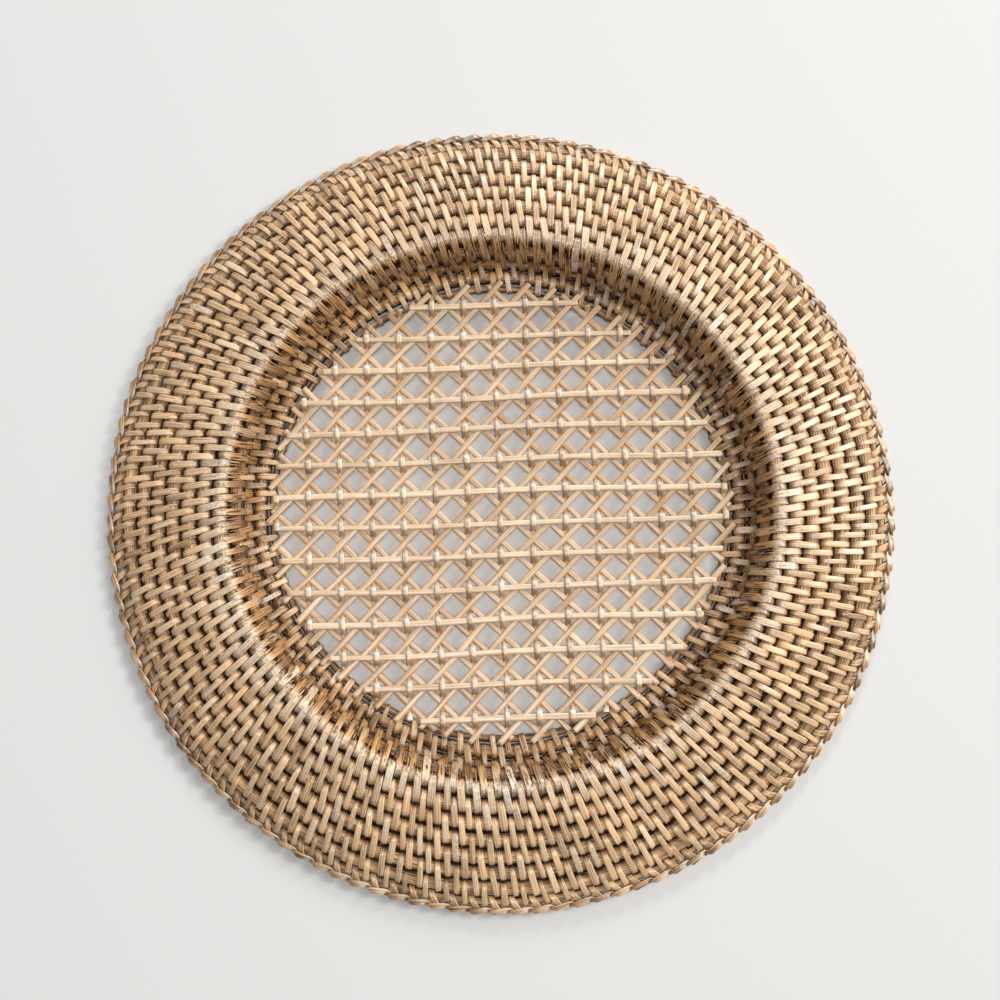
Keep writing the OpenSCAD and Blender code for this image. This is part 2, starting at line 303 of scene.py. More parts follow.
def facing_out(tilt, theta):
    """Directions tilted up from the radius, at places theta round the plate."""
    return np.stack([np.cos(tilt) * np.cos(theta), np.cos(tilt) * np.sin(theta), np.sin(tilt)], -1)


def rotated(first, second, angle):
    """Two coordinates turned by an angle, from the first towards the second."""
    cos, sin = np.cos(angle), np.sin(angle)
    return cos * first - sin * second, sin * first + cos * second


def coil_points(place, rods, rng):
    """A coil core: a ring whose section is a bundle of fine rods.

    The section's radius has a ridge for each rod, the size of the cosine of
    half the rod count times the angle. The bundle rocks about itself along
    the ring by the sine of twice the way round, and each rod swells and thins
    by a sum of six waves. The bundle bulges sideways by the fourth power of
    the cosine, because the next coil lies a little way off.
    """
    radius, height, half = place
    station_length = 1.9 * MM
    waves = 6
    stations = int(2 * math.pi * radius / station_length)
    ring = rods * 4
    theta = np.linspace(0, 2 * np.pi, stations, endpoint=False)[:, None]
    phi = np.linspace(0, 2 * np.pi, ring, endpoint=False)[None, :]
    ridge = np.abs(np.cos(rods * phi / 2))
    along = rng.integers(3, 40, waves)
    around = rng.integers(1, rods, waves)
    phases = rng.uniform(0, 6, waves)
    swell = sum(0.09 * np.sin(n * theta + m * phi + p) for n, m, p in zip(along, around, phases))
    thick = half * (0.90 + 0.11 * ridge * (1 + swell) + 0.02 * swell)
    angle = -phi + 0.12 * np.sin(2 * theta + 1)
    bulge = 1 + 0.17 * np.cos(angle) ** 4
    reach = radius + thick * np.cos(angle) * bulge
    points = np.stack([reach * np.cos(theta), reach * np.sin(theta),
                       height + thick * np.sin(angle)], axis=-1)
    length = np.linspace(0, 2 * np.pi * radius, stations + 1)[None] * CM
    # painted shade between the rods and down the sides, near the next coil; a swelling rod is lighter
    tone = 0.30 * (ridge - 0.7) - 1.05 * np.cos(angle) ** 6 + 0.5 * (swell - 0.05)
    return points[None], length, tone[None]


def belt(row):
    """The belt of a row round its two coils: the radius round the inner and
    the outer one, the way from one centre to the other, its tilt, and the
    angle at which a line touches both."""
    inner, outer = PLACE[row.inner], PLACE[row.outer]
    start = inner[2] + LASH_GAP + row.over
    end = outer[2] + LASH_GAP
    run_out, run_up = outer[0] - inner[0], outer[1] - inner[1]
    run = math.hypot(run_out, run_up)
    return start, end, run, math.atan2(run_up, run_out), math.acos((start - end) / run)


def loop_points(row, width, thick, lean, section, rng):
    """One row of stitches: closed loops round two coils.

    A loop's path is the belt round two circles: straight between the points
    where a line touches both, and round each circle from one such point to
    the other. Its upper straight sags in the middle, and the strip is a tenth
    narrower elsewhere. The loop lies in a plane turned from the radius by the
    lean about the middle of the pair. Roll, lean, width, pull and place
    differ a little from loop to loop. The tone returned is painted light and
    shade: 1 on the strip's level top, a little less underneath, and below 0
    down the sides.
    """
    inner, outer, loops = PLACE[row.inner], PLACE[row.outer], row.loops
    start, end, run, tilt, touch = belt(row)
    bends = 5
    steps = np.arange(1, bends + 1) / (bends + 1)
    outer_arc = touch * (1 - 2 * steps)
    inner_arc = -touch - (2 * np.pi - 2 * touch) * steps
    # the upper straight has three stations, and the lower one its two ends
    angles = np.concatenate([[touch] * 3, outer_arc, [-touch] * 2, inner_arc])
    centre = np.concatenate([[0, run / 2, run], [run] * bends, [run, 0], [0] * bends])
    radii = np.concatenate([[start, (start + end) / 2, end], [end] * bends, [end, start],
                            [start] * bends])
    stations = len(angles)
    on_top = np.arange(stations) < 3
    pull = rng.normal(0, 1, (loops, 1))
    sag = np.zeros(stations)
    sag[1] = -0.12 * MM
    x = centre + radii * np.cos(angles) - run / 2
    z = radii * np.sin(angles) + sag
    x = np.broadcast_to(x, (loops, stations)) * (1 + SPREAD["pull"] * pull)
    z = np.broadcast_to(z, (loops, stations))
    centres = np.stack([x, np.zeros_like(x), z], axis=-1)
    out = np.broadcast_to(np.stack([np.cos(angles), 0 * angles, np.sin(angles)], -1),
                          (loops, stations, 3))
    roll = rng.normal(0, SPREAD["roll"], (loops, 1, 1))
    side = np.broadcast_to(np.array([0.0, 1.0, 0.0]), (loops, stations, 3))
    side = side + roll * out
    wide = width * (1 + rng.normal(0, SPREAD["width"], (loops, 1)))
    narrow = np.where(on_top, 1.0, 0.9)
    grid = swept(centres, side, out, wide * narrow, thick, section)
    x, y, z = grid[..., 0], grid[..., 1], grid[..., 2]
    # lean about the pair's normal, then tilt onto the section's line
    turn = lean + rng.normal(0, SPREAD["lean"], loops)
    x, y = rotated(x, y, turn.reshape(-1, 1, 1))
    x, z = rotated(x, z, tilt)
    x, z = x + (inner[0] + outer[0]) / 2, z + (inner[1] + outer[1]) / 2
    place = 2 * np.pi * (np.arange(loops) + row.turn + rng.normal(0, SPREAD["place"], loops)) / loops
    grid = np.stack([*rotated(x, y, place.reshape(-1, 1, 1)), z], -1)
    path = np.stack([centre + radii * np.cos(angles), radii * np.sin(angles)], -1)
    gaps = np.linalg.norm(np.roll(path, -1, axis=0) - path, axis=-1)
    length = np.concatenate([[0], np.cumsum(gaps)])[None] * CM + rng.uniform(0, 50, (loops, 1))
    # painted light on the level top, painted shade underneath and down the sides
    level = np.abs(np.sin(angles))
    under = np.where(np.sin(angles) < 0, 0.4, 0)
    tone = np.clip((level - 0.55) / 0.45, -1.5, 1) - under
    return grid, length, tone[None]


def fibre_points(row, thick, lean, count, rng):
    """Frayed fibres over the inner side of the crest.

    Each one follows the belt of the wall's strips, a strip's thickness
    further out: from the top of the crest coil round to the point where the
    line touches both circles, and on down that line. It starts and stops
    anywhere, bends out or in at its ends by the square of the distance from
    its middle, and leans as the strips do.
    """
    stations = 9
    round_crest = 0.45        # the share of the way that goes round the coil
    inner = PLACE[row.inner]
    wall, crest, run, tilt, touch = belt(row)
    start = rng.uniform(0.05, 0.85, count)
    stop = np.minimum(start + rng.uniform(0.15, 0.5, count), 1.0)
    share = np.linspace(-1, 1, stations)[None]
    way = start[:, None] + (stop - start)[:, None] * (share + 1) / 2
    up = math.pi / 2 - tilt
    angle = up + (touch - up) * np.clip(way / round_crest, 0, 1)
    down = np.clip((way - round_crest) / (1 - round_crest), 0, 1)
    bow = share ** 2 * rng.uniform(-0.15, 0.35, (count, 1)) * MM
    reach = crest + (wall - crest) * down + thick + rng.uniform(-0.02, 0.12, (count, 1)) * MM + bow
    x = run * (1 - down) + reach * np.cos(angle)
    z = reach * np.sin(angle)
    out_by, up_by = rotated(x, z, tilt)
    radius, height = inner[0] + out_by, inner[1] + up_by
    drift = rng.normal(0, 0.3, (count, 1)) * MM * np.sin(3 * way + rng.uniform(0, 6, (count, 1)))
    aside = (x - run / 2) * math.sin(lean) + drift
    theta = rng.uniform(0, 2 * np.pi, (count, 1)) + aside / radius
    centre = np.stack([radius * np.cos(theta), radius * np.sin(theta), height], -1)
    out = facing_out(angle + tilt, theta)
    side = np.stack([-np.sin(theta), np.cos(theta), 0 * theta], -1)
    width = rng.uniform(0.25, 0.85, (count, 1)) * MM * (1 - 0.8 * share ** 4)
    grid = swept(centre, side, out, width, 0.24 * MM, FIBRE)
    length = np.linspace(0, 0.6, stations)[None] + rng.uniform(0, 50, (count, 1))
    return grid, length


def plait_angles(loops):
    """The way along the plait at each station, a whole turn for each figure."""
    return np.linspace(0, 2 * np.pi * loops, loops * FIGURE, endpoint=False)


def plait_points(edge, reach, width, thick, loops, turn, rng):
    """The plaited edge: one strand in figures of eight round the edge rod.

    In the section the strand follows two touching loops: the radius is the
    crossing's radius less a reach times the cosine times its own size, and
    the height follows the sine of twice the angle. Along the edge it moves on
    one step for each figure, faster over the top and at the crossing, slower
    underneath and at the tips, and its outer tip lies back by the square of
    the cosine. Round the rod the strip faces away from the rod; beyond it, it
    turns up and down by the sine of twice the angle.
    """
    cross_gap = 0.85 * MM     # from the lashing to the crossing
    inner_gap = 1.22 * MM     # from the rod to the inner bend
    rod_gap = 0.20 * MM       # from the rod to the strip over and under it
    over_top = 1.0 * MM       # gained along the edge over the top
    at_cross = 0.815 * MM     # gained along the edge at the crossing
    lie_back = 4.2 * MM       # how far the outer tip lies back
    steep, sharp = 1.35, 1.8  # how far and how fast the strip turns beyond the rod
    stations = loops * FIGURE
    angle = plait_angles(loops)
    cross_r = edge[0] + edge[2] + WRAP + cross_gap + thick / 2
    reach_in = cross_r - (edge[0] - edge[2] - inner_gap)
    reach_out = reach - cross_gap - width / 2
    rise = edge[2] + thick / 2 + rod_gap
    step = 2 * np.pi * cross_r / loops
    phase = rng.uniform(0, 6, 3)
    uneven = [1 + 0.05 * np.sin(n * angle / loops + p) for n, p in zip((17, 41, 66), phase)]

    def point(way):
        cos = np.cos(way)
        radius = cross_r - np.where(cos > 0, reach_in, reach_out * uneven[0]) * cos * np.abs(cos)
        height = edge[1] + rise * np.sin(2 * way)
        along = (step * way / (2 * np.pi) + over_top * (1 - np.cos(2 * way))
                 - at_cross * np.sin(2 * way)
                 - np.where(cos < 0, lie_back * cos * cos * uneven[1], 0))
        theta = along / cross_r + turn
        return radius, height, theta

    def place(way):
        radius, height, theta = point(way)
        return np.stack([radius * np.cos(theta), radius * np.sin(theta), height], -1)

    small = 1e-2
    radius, height, theta = point(angle)
    facing = np.where(np.cos(angle) > 0, np.arctan2(height - edge[1], radius - edge[0]),
                      steep * np.tanh(sharp * np.sin(2 * angle)))
    out = facing_out(facing, theta)
    ahead = unit(place(angle + small) - place(angle - small))
    side = unit(np.cross(ahead, out))
    grid = swept(place(angle)[None], side[None], out[None], width * uneven[2], thick, PLAIT)
    length = np.linspace(0, loops * FIGURE_STRIP * MM, stations + 1)[None] * CM
    return grid, length


def cane_drift(points):
    """Uneven spacing of the hand-woven mesh, the same for every strand: each
    place moves a little by slow waves across the mesh, all in millimetres."""
    x, y = points[..., 0] / MM, points[..., 1] / MM
    dx = 0.35 * np.sin(y / 13 + 1.0) + 0.30 * np.sin(x / 17 + y / 29) + 0.2 * np.sin(y / 6.1 + x / 40)
    dy = 0.40 * np.sin(x / 19 + 0.4) + 0.35 * np.sin(y / 15 - x / 37) + 0.2 * np.sin(y / 4.3 + x / 60)
    moved = points.copy()
    moved[..., 0] += dx * MM
    moved[..., 1] += dy * MM
    return moved


def strand_points(places, radius, heights, width, thick, turn, stations, rng):
    """Strands of one direction, flat underneath and rounded above.

    Strand k lies at places[k] from the middle and ends on the circle of the
    given radius. heights(x) gives the height along its length. Length and
    width differ a little from strand to strand, and width and roll swing
    along each one.
    """
    count = len(places)
    half = np.sqrt(radius ** 2 - (np.abs(places) + width / 2) ** 2)
    half = half * (1 + rng.normal(0, 0.006, count))
    share = np.linspace(-1, 1, stations)
    x = half[:, None] * share[None]
    y = np.broadcast_to(places[:, None], x.shape)
    z = heights(x)
    slope = np.gradient(z, axis=1) / np.gradient(x, axis=1)
    norm = np.hypot(1, slope)
    out = np.stack([-slope / norm, 0 * x, 1 / norm], -1)
    roll = 0.10 * np.sin(x / (19 * MM) + rng.uniform(0, 6, (count, 1)))[..., None]
    side = unit(np.stack([0 * x, 1 + 0 * x, 0 * x], -1) + roll * out)
    wide = width * (1 + 0.05 * rng.normal(0, 1, (count, 1))
                    + 0.05 * np.sin(x / (7 * MM) + rng.uniform(0, 6, (count, 1))))
    grid = swept(np.stack([x, y, z], -1), side, out, wide, thick, CANE)
    grid = np.stack([*rotated(grid[..., 0], grid[..., 1], turn), grid[..., 2]], -1)
    length = x * CM + rng.uniform(0, 60, (count, 1))
    return cane_drift(grid), length


def new_group(name, inputs, outputs):
    """A shader node group with the given named sockets."""
    group = bpy.data.node_groups.new(name, "ShaderNodeTree")
    for label, kind, default in inputs:
        socket = group.interface.new_socket(name=label, in_out="INPUT", socket_type=kind)
        socket.default_value = default
    for label, kind in outputs:
        group.interface.new_socket(name=label, in_out="OUTPUT", socket_type=kind)
    return group, group.nodes.new("NodeGroupInput"), group.nodes.new("NodeGroupOutput")


def math_node(tree, operation, a, b, clamp=False):
    """A Math node whose inputs are sockets or numbers."""
    node = tree.nodes.new("ShaderNodeMath")
    node.operation = operation
    node.use_clamp = clamp
    for slot, value in enumerate((a, b)):
        if isinstance(value, (int, float)):
            node.inputs[slot].default_value = value
        else:
            tree.links.new(value, node.inputs[slot])
    return node.outputs[0]


def mix_colour(tree, factor, a, b, blend="MIX"):
    """A colour Mix node; factor, a and b are sockets or values."""
    node = tree.nodes.new("ShaderNodeMix")
    node.data_type = "RGBA"
    node.blend_type = blend
    for socket, value in ((node.inputs[0], factor), (node.inputs[6], a), (node.inputs[7], b)):
        if isinstance(value, (int, float, tuple, list)):
            socket.default_value = value
        else:
            tree.links.new(value, socket)
    return node.outputs[2]


def noise(tree, vector, scale, detail, rough):
    """The value of a Noise texture on a vector."""
    node = tree.nodes.new("ShaderNodeTexNoise")
    node.inputs["Scale"].default_value = scale
    node.inputs["Detail"].default_value = detail
    node.inputs["Roughness"].default_value = rough
    tree.links.new(vector, node.inputs["Vector"])
    return node.outputs["Fac"]


def scaled(tree, vector, scale):
    """A vector multiplied by three numbers."""
    node = tree.nodes.new("ShaderNodeVectorMath")
    node.operation = "MULTIPLY"
    node.inputs[1].default_value = scale
    tree.links.new(vector, node.inputs[0])
    return node.outputs[0]


def ramp(tree, value, low, high):
    """A value mapped from low..high to 0..1, clamped."""
    node = tree.nodes.new("ShaderNodeMapRange")
    node.inputs[1].default_value = low
    node.inputs[2].default_value = high
    tree.links.new(value, node.inputs[0])
    return node.outputs[0]


def added(tree, base, value, amount, clamp=False):
    """A base plus a share of a value."""
    return math_node(tree, "ADD", base, math_node(tree, "MULTIPLY", value, amount), clamp)


def about_half(tree, value):
    """How far a value lies from a half."""
    return math_node(tree, "SUBTRACT", value, 0.5)


def tinted(tree, factor, colour, tint):
    """A colour multiplied by a tint, as far as the factor says."""
    return mix_colour(tree, factor, colour, mix_colour(tree, 1.0, colour, tint, "MULTIPLY"))


def stained_wall(tree, place):
    """1 on the wall of the well and 0 elsewhere, by the distance from the axis."""
    radius = tree.nodes.new("ShaderNodeVectorMath")
    radius.operation = "LENGTH"
    tree.links.new(scaled(tree, place, (1.0, 1.0, 0.0)), radius.inputs[0])
    inner = ramp(tree, radius.outputs["Value"], *STAIN_START)
    outer = ramp(tree, radius.outputs["Value"], *STAIN_END)
    return math_node(tree, "MULTIPLY", inner, outer)


def worn_and_sheen_crest(tree, place, patches):
    """1 on the highest places where the patches are strong, and 0 elsewhere: the crest's wear and painted
    sheen.
    """
    parts = tree.nodes.new("ShaderNodeSeparateXYZ")
    tree.links.new(place, parts.inputs[0])
    high = ramp(tree, parts.outputs["Z"], *WEAR_AND_SHEEN_HEIGHTS)
    return math_node(tree, "MULTIPLY", high, ramp(tree, patches, 0.2, 0.55))


def grain_group():
    """Fibres along a strip of rattan: streaks that run with u, specks and a
    slow change of tone. Puts out a colour, a roughness and a height.

    A tone of 0 is the dark colour and 1 the light one. Under a tone of 0.15
    painted shade comes in, the darkening of grooves, sides and undersides.
    Worn places, painted highlights and the crest, pale from wear and painted
    sheen, turn to the bare colour.
    """
    number, vector, shade = "NodeSocketFloat", "NodeSocketVector", "NodeSocketColor"
    tree, enter, leave = new_group("Rattan grain", [
        ("UV", vector, (0, 0, 0)), ("Place", vector, (0, 0, 0)), ("Tone", number, 0.5),
        ("Wear", number, 0.0), ("Hue", number, 0.0), ("Light", shade, (0.7, 0.5, 0.3, 1)),
        ("Dark", shade, (0.4, 0.25, 0.12, 1)), ("Bare", shade, (0.85, 0.75, 0.6, 1)),
        ("Streaks", number, 1.0)],
        [("Colour", shade), ("Roughness", number), ("Height", number)])
    get = enter.outputs
    fine = noise(tree, scaled(tree, get["UV"], (1.1, 34.0, 1.0)), 1.0, 4.0, 0.65)
    broad = noise(tree, scaled(tree, get["UV"], (0.35, 8.0, 1.0)), 1.0, 2.0, 0.55)
    blotch = noise(tree, get["Place"], 95.0, 3.0, 0.6)
    speck = noise(tree, get["Place"], 900.0, 2.0, 0.6)
    streak = math_node(tree, "MULTIPLY", about_half(tree, ramp(tree, fine, 0.3, 0.72)), get["Streaks"])
    value = added(tree, get["Tone"], streak, 0.55)
    value = added(tree, value, about_half(tree, ramp(tree, broad, 0.32, 0.68)), 0.6)
    value = added(tree, value, about_half(tree, blotch), 0.7)
    value = added(tree, value, about_half(tree, speck), 0.25, True)
    colour = mix_colour(tree, value, get["Dark"], get["Light"])
    # painted shade where the tone falls below 0.15: in grooves, down the sides and under the pieces
    colour = tinted(tree, ramp(tree, get["Tone"], 0.15, -0.5), colour, PAINTED_SHADE)
    # slow changes of hue, and then the golden stain
    hue = ramp(tree, noise(tree, get["Place"], 110.0, 2.0, 0.5), 0.3, 0.7)
    hue = math_node(tree, "ADD", math_node(tree, "MULTIPLY", hue, 0.5), get["Hue"], True)
    colour = mix_colour(tree, 1.0, colour, mix_colour(tree, hue, HONEY, STRAW), "MULTIPLY")
    stain = math_node(tree, "MULTIPLY", stained_wall(tree, get["Place"]), ramp(tree, blotch, 0.05, 0.5))
    colour = tinted(tree, math_node(tree, "MULTIPLY", stain, 0.75), colour, STAIN)
    # worn places, painted highlights on knuckles and bends, and the crest's wear and painted sheen
    wear_and_sheen_mask = added(tree, get["Wear"], worn_and_sheen_crest(tree, get["Place"], broad), 0.7)
    bare = math_node(tree, "MULTIPLY", wear_and_sheen_mask, ramp(tree, speck, 0.25, 0.6), True)
    colour = mix_colour(tree, bare, colour, get["Bare"])
    height = added(tree, math_node(tree, "MULTIPLY", fine, 0.5), speck, 0.2)
    tree.links.new(colour, leave.inputs["Colour"])
    tree.links.new(added(tree, 0.24, fine, 0.30), leave.inputs["Roughness"])
    tree.links.new(added(tree, height, broad, 0.6), leave.inputs["Height"])
    return tree


def rattan(name, light, dark, bare, streaks, bump, specular, coat):
    """A finish of rattan from the shared grain group."""
    material = bpy.data.materials.new(name)
    material.use_nodes = True
    tree = material.node_tree
    shader = tree.nodes["Principled BSDF"]
    group = bpy.data.node_groups.get("Rattan grain") or grain_group()
    grain = tree.nodes.new("ShaderNodeGroup")
    grain.node_tree = group
    uv = tree.nodes.new("ShaderNodeUVMap")
    uv.uv_map = "grain"
    place = tree.nodes.new("ShaderNodeTexCoord")
    tree.links.new(uv.outputs["UV"], grain.inputs["UV"])
    tree.links.new(place.outputs["Object"], grain.inputs["Place"])
    for label, target in (("tone", "Tone"), ("wear", "Wear"), ("hue", "Hue")):
        node = tree.nodes.new("ShaderNodeAttribute")
        node.attribute_name = label
        tree.links.new(node.outputs["Fac"], grain.inputs[target])
    grain.inputs["Light"].default_value = (*light, 1)
    grain.inputs["Dark"].default_value = (*dark, 1)
    grain.inputs["Bare"].default_value = (*bare, 1)
    grain.inputs["Streaks"].default_value = streaks
    tree.links.new(grain.outputs["Colour"], shader.inputs["Base Color"])
    tree.links.new(grain.outputs["Roughness"], shader.inputs["Roughness"])
    relief = tree.nodes.new("ShaderNodeBump")
    relief.inputs["Strength"].default_value = bump
    relief.inputs["Distance"].default_value = 0.2 * MM
    tree.links.new(grain.outputs["Height"], relief.inputs["Height"])
    tree.links.new(relief.outputs["Normal"], shader.inputs["Normal"])
    shader.inputs["Specular IOR Level"].default_value = specular
    shader.inputs["Coat Weight"].default_value = coat
    shader.inputs["Coat Roughness"].default_value = 0.2
    return material


def finish(name, key):
    """The finish of one kind of piece, made once from the panel's colours."""
    found = bpy.data.materials.get(name)
    if found:
        return found
    look = bpy.context.scene.plate_look
    light, dark, bare = (tuple(getattr(look, f"{key}_{part}")) for part in ("light", "dark", "bare"))
    return rattan(name, light, dark, bare, *SHEEN[key])


def colour_prop(label, words, value):
    """A colour property."""
    return FloatVectorProperty(name=label, description=words, subtype="COLOR", size=3,
                               min=0, max=1, default=value)


def length_prop(label, words, value):
    """A length property."""
    return FloatProperty(name=label, description=words, default=value, unit="LENGTH")


def angle_prop(label, words, value):
    """An angle property."""
    return FloatProperty(name=label, description=words, default=value, subtype="ANGLE")


def share_prop(label, words, value):
    """A plain number property."""
    return FloatProperty(name=label, description=words, default=value)


class PlateWeave(bpy.types.PropertyGroup):
    """Sizes of the strips."""
    lash_width: share_prop("Stitch width", "Width of the strips, as a share of each row's own", 1.0)
    lash_thick: length_prop("Stitch thickness", "Thickness of a lashing strip", 0.7 * MM)
    lash_lean: angle_prop("Stitch lean", "Lean of a stitch away from the radius", math.radians(9))
    plait_width: length_prop("Plait width", "Width of the plaiting strip", 2.6 * MM)
    plait_thick: length_prop("Plait thickness", "Thickness of the plaiting strip", 0.55 * MM)
    plait_reach: length_prop("Plait reach", "Reach of the plait beyond the loops", 3.5 * MM)
    plait_share: share_prop("Plait place", "Where the edge loops stand between two figures", 0.714)
    mesh_pitch: length_prop("Mesh pitch", "Distance from one mesh strand to the next", 13.35 * MM)
    mesh_turn: angle_prop("Mesh turn", "Turn of the mesh about the middle", math.radians(2))
    cane_width: length_prop("Strand width", "Width of a mesh strand", 2.5 * MM)
    cane_thick: length_prop("Strand thickness", "Thickness of a mesh strand", 0.5 * MM)
    seed: IntProperty(name="Seed", description="Seed of the hand-made differences", default=7)


class PlateLook(bpy.types.PropertyGroup):
    """Colours of the rattan."""
    core_light: colour_prop("Core, light", "Light tone of the coil cores", (0.82, 0.54, 0.285))
    core_dark: colour_prop("Core, dark", "Dark tone of the coil cores", (0.06, 0.029, 0.010))
    # the bare colours show worn rattan and also the painted highlights and sheen
    core_bare: colour_prop("Core, bare", "Colour of the cores where rubbed", (0.62, 0.44, 0.26))
    stitch_light: colour_prop("Stitch, light", "Light tone of the stitches", (1.0, 0.73, 0.44))
    stitch_dark: colour_prop("Stitch, dark", "Dark tone of the stitches", (0.17, 0.085, 0.034))
    stitch_bare: colour_prop("Stitch, bare", "Colour of the stitches where rubbed", (0.98, 0.85, 0.67))
    mesh_light: colour_prop("Mesh, light", "Light tone of the mesh strands", (0.92, 0.75, 0.53))
    mesh_dark: colour_prop("Mesh, dark", "Dark tone of the mesh strands", (0.46, 0.28, 0.14))
    mesh_bare: colour_prop("Mesh, bare", "Colour of the mesh where rubbed", (0.97, 0.94, 0.89))
    floor: colour_prop("Floor", "Colour of the floor", (0.80, 0.80, 0.79))


class PLATE_OT_coils(bpy.types.Operator):
    """Builds the twelve coil cores"""
    bl_idname = "plate.coils"
    bl_label = "Coil cores"

    def execute(self, context):
        rng = np.random.default_rng(context.scene.plate_weave.seed)
        material = finish("Rattan core", "core")
        middle, spread = TONE["core"]
        for name in COILS:
            place = PLACE[name]
            rods = max(5, int(round(np.pi * place[2] / ROD)))
            grid, length, tone = coil_points(place, rods, rng)
            shade = COIL_SHADE if place[0] < WELL_RADIUS else 0.0
            tone = np.clip(middle - shade + spread * rng.normal() + tone, DARKEST, 1)
            mesh = build_mesh(name + "_bundle", hand_made(grid), True, length, tone)
            add_piece(name + "_bundle", mesh, material, [name])
        return {"FINISHED"}


class PLATE_OT_stitches(bpy.types.Operator):
    """Builds the eleven rows of stitches"""
    bl_idname = "plate.stitches"
    bl_label = "Stitches"

    def execute(self, context):
        weave = context.scene.plate_weave
        rng = np.random.default_rng(weave.seed + 1)
        material = finish("Split rattan", "stitch")
        middle, spread = TONE["stitch"]
        for row in ROWS:
            name = row.node
            section = SPLIT if name in FRAYED else WHOLE
            grid, length, top = loop_points(row, row.width * weave.lash_width, weave.lash_thick,
                                            weave.lash_lean, section, rng)
            each = (row.loops, 1)
            # painted light on the tops, painted shade in the well and in the section's valleys and edges,
            # and a random difference per strip
            tone = middle - IN_SHADE.get(name, 0.0) + rng.normal(0, spread, each) + 0.38 * top
            tone = tone[..., None] - section[:, 2]
            # painted shade, darker further down the wall of the well
            if row is WALL:
                tone = tone - 0.5 * down_wall(grid)
            hue = 0.3 + rng.normal(0, 0.12 if row is WALL else 0.3, each)
            wear = np.clip(rng.normal(-0.1, 0.35, each), 0, 1) * np.clip(top, 0, 1)
            mesh = build_mesh(name + "_strips", hand_made(grid), True, length,
                              np.clip(tone, DARKEST, 1), wear, hue)
            add_piece(name + "_strips", mesh, material, [name])
        return {"FINISHED"}


class PLATE_OT_fibres(bpy.types.Operator):
    """Builds the loose fibres over the inner side of the crest"""
    bl_idname = "plate.fibres"
    bl_label = "Loose fibres"

    def execute(self, context):
        weave = context.scene.plate_weave
        rng = np.random.default_rng(weave.seed + 4)
        grid, length = fibre_points(WALL, weave.lash_thick, weave.lash_lean, FIBRES, rng)
        # a random tone for each fibre, with painted shade further down the wall
        tone = rng.uniform(-0.1, 1.0, (FIBRES, 1)) - 0.4 * down_wall(grid[:, :, 0])
        hue = rng.uniform(-0.2, 0.4, (FIBRES, 1))
        mesh = build_mesh("crest_fibres", hand_made(grid), False, length, tone, hue=hue)
        material = finish("Split rattan", "stitch")
        add_piece("crest_fibres", mesh, material, [WALL.node])
        return {"FINISHED"}


class PLATE_OT_plait(bpy.types.Operator):
    """Builds the plaited strand at the edge"""
    bl_idname = "plate.plait"
    bl_label = "Plaited edge"

    def execute(self, context):
        weave = context.scene.plate_weave
        loops = EDGE.loops
        turn = 2 * math.pi * (EDGE.turn - weave.plait_share) / loops
        rng = np.random.default_rng(weave.seed + 2)
        grid, length = plait_points(PLACE[EDGE.outer], weave.plait_reach, weave.plait_width,
                                    weave.plait_thick, loops, turn, rng)
        # the outer legs are darker, and their upper bends carry a painted highlight
        middle, spread = TONE["plait"]
        along = plait_angles(loops)
        outer = np.clip(-np.cos(along), 0, 1)
        tone = middle + np.repeat(rng.normal(0, spread, loops), FIGURE) - 0.34 * outer
        bend, upper = 0.35, np.clip(np.sin(2 * along) * 3, 0, 1)
        wear = np.clip(1 - np.abs(outer - bend) / bend, 0, 1) * upper
        wear = wear * np.repeat(rng.uniform(0.1, 1.0, loops), FIGURE)
        mesh = build_mesh("edge_plait_strand", hand_made(grid), True, length,
                          np.clip(tone, 0, 1)[None], wear[None])
        material = finish("Split rattan", "stitch")
        add_piece("edge_plait_strand", mesh, material, ["edge_plait"])
        return {"FINISHED"}


